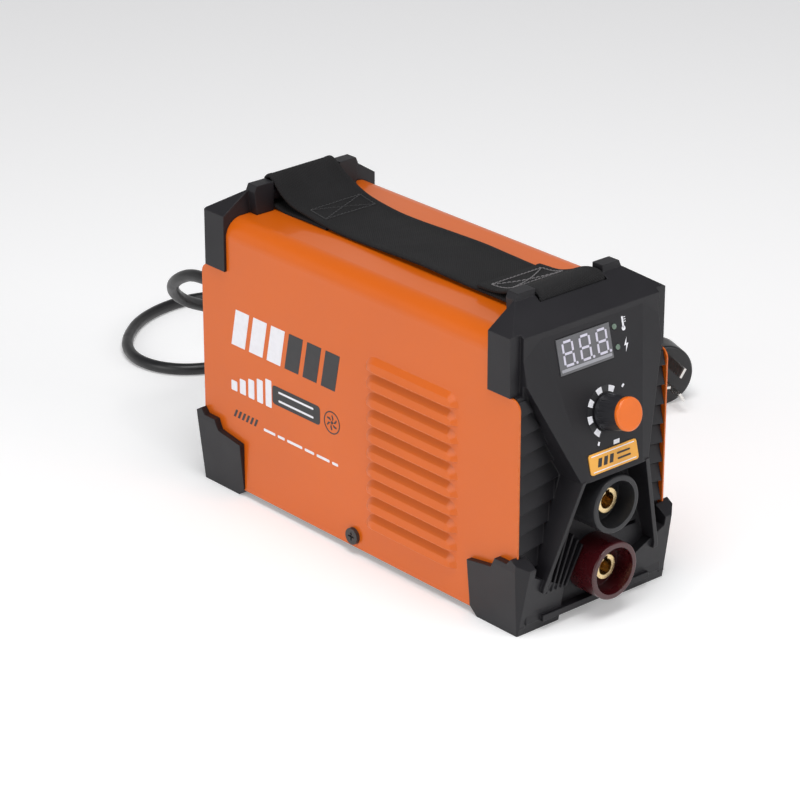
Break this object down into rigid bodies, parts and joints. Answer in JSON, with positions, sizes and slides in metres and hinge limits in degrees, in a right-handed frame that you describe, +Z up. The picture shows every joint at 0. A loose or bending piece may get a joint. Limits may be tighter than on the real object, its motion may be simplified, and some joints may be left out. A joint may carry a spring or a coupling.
{
  "type": "stick welding inverter",
  "caption": "Compact inverter power source for stick welding: folded sheet cover, moulded ends, current knob, display, two weld sockets, carry strap, rear fan and switch.",
  "frame": {"origin": "centre of the bounding box of the machine without its mains cord, on the plane it stands on", "axes": "+Z up, -Y out of the front panel, +X to the right seen from the front"},
  "size_m": [0.2982, 0.5062, 0.1815],
  "materials": {
    "cover_paint": "fine-textured powder coat, orange-red",
    "tray_steel": "black powder coat",
    "moulded_plastic": "fine-grained black moulded plastic",
    "window_plastic": "smoked, smooth",
    "digit_segments": "unlit pale segments",
    "lamp_lens": "pale clear lens",
    "badge_plate": "satin gold-orange inlay",
    "knob_grip": "fine-grained black",
    "knob_face": "satin orange cap",
    "zinc_steel": "zinc plated",
    "board_laminate": "green solder mask",
    "black_collar": "satin black",
    "maroon_collar": "satin maroon",
    "socket_brass": "turned",
    "copper_bar": "bare copper",
    "strap_webbing": "fine woven webbing",
    "black_screws": "black oxide",
    "fan_plastic": "black glass-filled plastic",
    "guard_wire": "nickel-plated wire",
    "switch_plastic": "black",
    "rocker_plastic": "smooth red",
    "tinned_brass": "stamped, tinned",
    "gland_plastic": "black nylon",
    "cord_rubber": "smooth matt black rubber",
    "plug_rubber": "moulded black rubber",
    "sink_aluminium": "extruded",
    "device_plastic": "moulded epoxy",
    "relay_case": "blue case",
    "capacitor_sleeve": "dark blue sleeve",
    "ferrite": "grey-black",
    "winding_copper": "enamelled copper",
    "wire_insulation": "brown insulation"
  },
  "bodies": {
    "casing": {"cover": "cover_paint", "base_tray": "tray_steel", "front_moulding": "moulded_plastic", "rear_moulding": "moulded_plastic", "display_window": "window_plastic", "display_digits": "digit_segments", "indicator_lamps": "lamp_lens", "badge": "badge_plate", "potentiometer": "zinc_steel", "potentiometer_nut": "zinc_steel", "control_board": "board_laminate", "socket_washers": "zinc_steel", "socket_nuts": "zinc_steel", "terminal_nuts": "zinc_steel", "negative_collar": "black_collar", "negative_insert": "socket_brass", "negative_bus_bar": "copper_bar", "positive_collar": "maroon_collar", "positive_insert": "socket_brass", "positive_bus_bar": "copper_bar", "carry_strap": "strap_webbing", "cover_screws": "black_screws", "base_screws": "black_screws", "fan_frame": "fan_plastic", "fan_guard": "guard_wire", "fan_screws": "black_screws", "switch_housing": "switch_plastic", "switch_terminals": "tinned_brass", "cable_gland": "gland_plastic", "gland_nut": "gland_plastic", "cord_boot": "cord_rubber", "cord_free": "cord_rubber", "cord_coil": "cord_rubber", "cord_lead": "cord_rubber", "plug_body": "plug_rubber", "plug_blades": "tinned_brass", "main_board": "board_laminate", "board_standoffs": "tinned_brass", "board_screws": "zinc_steel", "transistor_heat_sink": "sink_aluminium", "rectifier_heat_sink": "sink_aluminium", "power_transistors": "device_plastic", "output_rectifiers": "device_plastic", "bridge_rectifier": "device_plastic", "start_relay": "relay_case", "bulk_capacitors": "capacitor_sleeve", "transformer_core": "ferrite", "transformer_winding": "winding_copper", "choke_core": "ferrite", "choke_winding": "winding_copper", "filter_core": "ferrite", "filter_winding": "winding_copper", "earth_stud": "zinc_steel", "mains_wires": "wire_insulation"},
    "knob": {"knob_body": "knob_grip", "knob_cap": "knob_face", "potentiometer_shaft": "zinc_steel"},
    "rocker": {"switch_rocker": "rocker_plastic"},
    "fan": {"fan_rotor": "fan_plastic"}
  },
  "joints": [
    {"name": "knob_turn", "type": "hinge", "parent": "casing", "child": "knob", "pos_m": [0, -0.13212, 0.11566], "axis": [0, -0.9682, 0.25], "range_deg": [-140, 140]},
    {"name": "switch_rock", "type": "hinge", "parent": "casing", "child": "rocker", "pos_m": [0.022, 0.126, 0.129], "axis": [1, 0, 0], "range_deg": [-20, 0]},
    {"name": "fan_spin", "type": "hinge", "parent": "casing", "child": "fan", "pos_m": [0, 0.117, 0.057], "axis": [0, 1, 0], "continuous": true}
  ]
}
